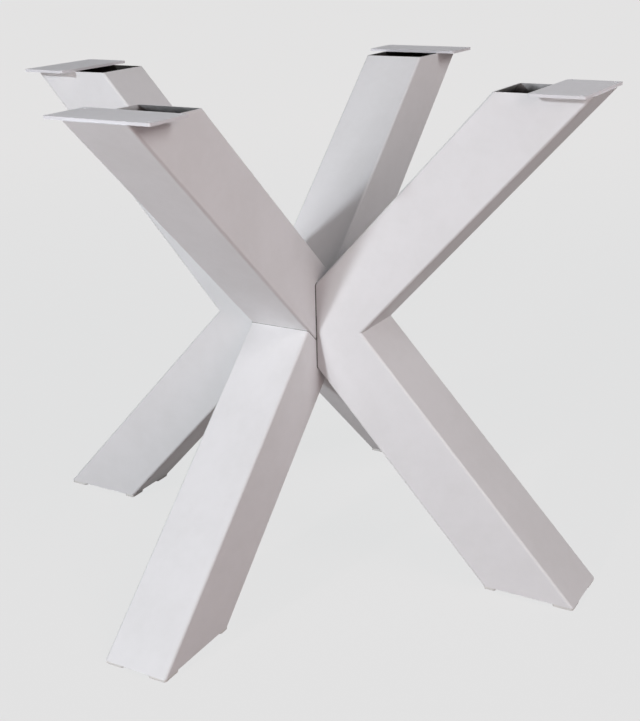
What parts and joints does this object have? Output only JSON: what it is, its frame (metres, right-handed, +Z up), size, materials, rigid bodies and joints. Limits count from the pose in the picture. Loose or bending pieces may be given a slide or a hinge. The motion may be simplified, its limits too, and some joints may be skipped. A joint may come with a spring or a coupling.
{
  "type": "x shaped table leg",
  "caption": "X-shaped table base of welded white square steel tube, arms crossing at mid height, with flat screw plates for the table top and glides under the feet.",
  "frame": {"origin": "on the floor under the crossing of the tubes", "axes": "+Z up; the X frame lies in the XZ plane, its through tube falling from -X to +X; the V frames lie along -Y and +Y"},
  "size_m": [0.916, 0.916, 0.728],
  "materials": {
    "tube": "white powder coat, fine texture, satin",
    "top_plate": "white powder coat, satin",
    "sole_plate": "white powder coat, satin",
    "glide": "pale matte plastic"
  },
  "bodies": {
    "root": {"back_glide_1": "glide", "back_glide_2": "glide", "back_glide_3": "glide", "back_glide_4": "glide", "back_lower_leg": "tube", "back_sole_plate": "sole_plate", "back_top_plate": "top_plate", "back_upper_leg": "tube", "front_glide_1": "glide", "front_glide_2": "glide", "front_glide_3": "glide", "front_glide_4": "glide", "front_lower_leg": "tube", "front_sole_plate": "sole_plate", "front_top_plate": "top_plate", "front_upper_leg": "tube", "left_glide_1": "glide", "left_glide_2": "glide", "left_glide_3": "glide", "left_glide_4": "glide", "left_lower_leg": "tube", "left_sole_plate": "sole_plate", "left_top_plate": "top_plate", "right_glide_1": "glide", "right_glide_2": "glide", "right_glide_3": "glide", "right_glide_4": "glide", "right_sole_plate": "sole_plate", "right_top_plate": "top_plate", "right_upper_leg": "tube", "through_tube": "tube"}
  },
  "joints": []
}
